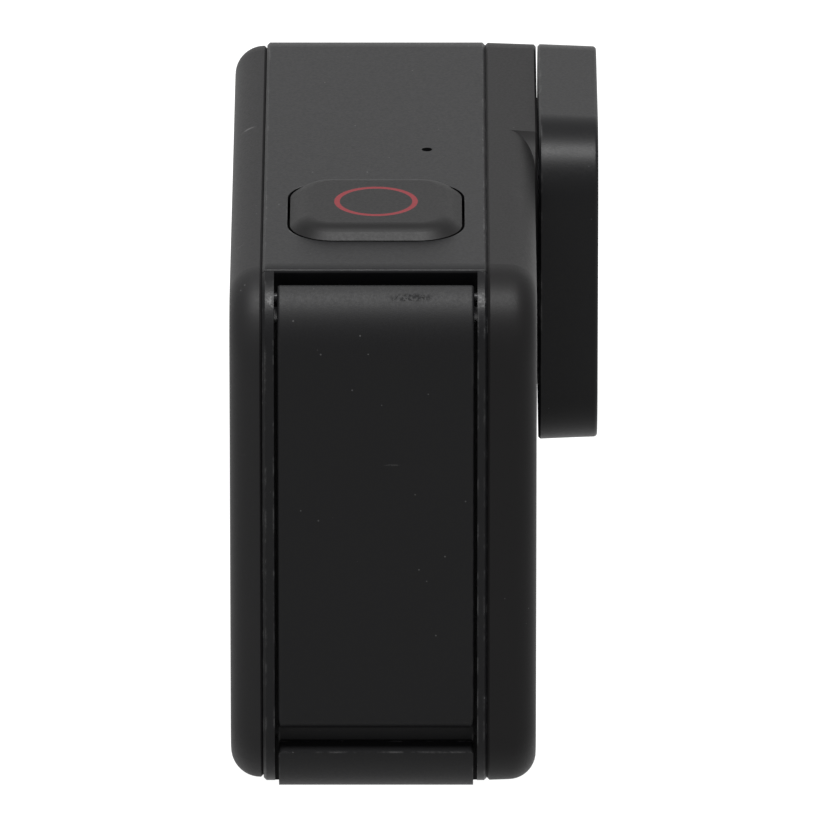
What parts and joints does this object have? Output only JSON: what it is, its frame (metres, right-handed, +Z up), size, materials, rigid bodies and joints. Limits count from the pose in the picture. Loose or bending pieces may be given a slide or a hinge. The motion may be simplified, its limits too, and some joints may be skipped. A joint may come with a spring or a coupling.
{
  "type": "action camera",
  "caption": "Compact rugged action camera with a square lens cover, front and rear screens, a latched side door and folding mounting fingers in the base.",
  "frame": {"origin": "centre of the overall box in X and Y, at the base of the body in Z", "axes": "+X to the right as seen from the front (mode button side), -Y out of the lens, +Z up through the shutter button"},
  "size_m": [0.0718, 0.0337, 0.0508],
  "materials": {
    "band_plastic": "hard dark grey plastic, fine speckle",
    "soft_shell": "soft-touch dark grey rubberised shell",
    "cover_plastic": "smooth dark grey plastic",
    "inner_plastic": "moulded black plastic",
    "glass_dark": "black glass over the screen",
    "glass_clear": "coated clear glass",
    "seal_rubber": "black silicone",
    "steel": "plain steel",
    "ring_red": "muted red inlay",
    "bayonet_metal": "black anodised",
    "finger_metal": "dark grey anodised",
    "display": "display panel, off",
    "light": "milky light pipe",
    "board": "green circuit board",
    "sensor": "image sensor under its window",
    "battery_case": "dark wrapped battery case",
    "tab_fabric": "woven blue tab",
    "contact_brass": "gold-plated contact",
    "spreader": "bare aluminium",
    "card_plastic": "memory card"
  },
  "bodies": {
    "camera": {"chassis": "band_plastic", "top_panel": "band_plastic", "front_shell": "soft_shell", "rear_shell": "soft_shell", "door_hinge_pin": "steel", "shutter_switch": "steel", "mode_carrier": "inner_plastic", "mode_switch": "steel", "speaker": "inner_plastic", "top_microphone": "seal_rubber", "front_microphone": "seal_rubber", "front_glass": "glass_dark", "front_display": "display", "front_status_light": "light", "rear_glass": "glass_dark", "rear_display": "display", "rear_status_light": "light", "bayonet_ring": "bayonet_metal", "lens_barrel": "inner_plastic", "lens_front_element": "glass_clear", "lens_rear_element": "glass_clear", "image_sensor": "sensor", "sensor_board": "board", "battery": "battery_case", "battery_pull_tab": "tab_fabric", "battery_bay": "inner_plastic", "battery_contacts": "contact_brass", "main_board": "board", "processor_shield": "steel", "heat_spreader": "spreader", "card_slot": "steel", "memory_card": "card_plastic", "data_port": "steel", "finger_bracket": "steel", "finger_pins": "steel", "bracket_screws": "steel"},
    "side_door": {"door": "band_plastic", "door_seal": "seal_rubber"},
    "latch": {"door_latch": "band_plastic"},
    "shutter": {"shutter_button": "band_plastic", "shutter_ring": "ring_red"},
    "mode": {"mode_button": "band_plastic"},
    "lens_cover": {"lens_cover_frame": "cover_plastic", "lens_cover_glass": "glass_clear", "lens_cover_seal": "seal_rubber"},
    "left_finger": {"finger_left": "finger_metal"},
    "right_finger": {"finger_right": "finger_metal"}
  },
  "joints": [
    {"name": "shutter_press", "type": "slide", "parent": "camera", "child": "shutter", "axis": [0, 0, -1], "range_m": [0, 0.0005], "stiffness_N_per_m": 2000, "springref_m": -0.0003},
    {"name": "mode_press", "type": "slide", "parent": "camera", "child": "mode", "axis": [-1, 0, 0], "range_m": [0, 0.0005], "stiffness_N_per_m": 2000, "springref_m": -0.0003},
    {"name": "door_hinge", "type": "hinge", "parent": "camera", "child": "side_door", "pos_m": [-0.03192, 0.00345, 0.04763], "axis": [0, 1, 0], "range_deg": [0, 110]},
    {"name": "latch_slide", "type": "slide", "parent": "side_door", "child": "latch", "axis": [0, 0, -1], "range_m": [0, 0.002], "stiffness_N_per_m": 300, "springref_m": -0.001},
    {"name": "cover_twist", "type": "hinge", "parent": "camera", "child": "lens_cover", "pos_m": [0.01723, -0.014, 0.0346], "axis": [0, -1, 0], "range_deg": [0, 90]},
    {"name": "finger_left_fold", "type": "hinge", "parent": "camera", "child": "left_finger", "pos_m": [-0.0035, 0.0035, 0.0019], "axis": [0, -1, 0], "range_deg": [0, 90]},
    {"name": "finger_right_fold", "type": "hinge", "parent": "camera", "child": "right_finger", "pos_m": [0.0027, 0.0035, 0.0019], "axis": [0, 1, 0], "range_deg": [0, 90]}
  ]
}
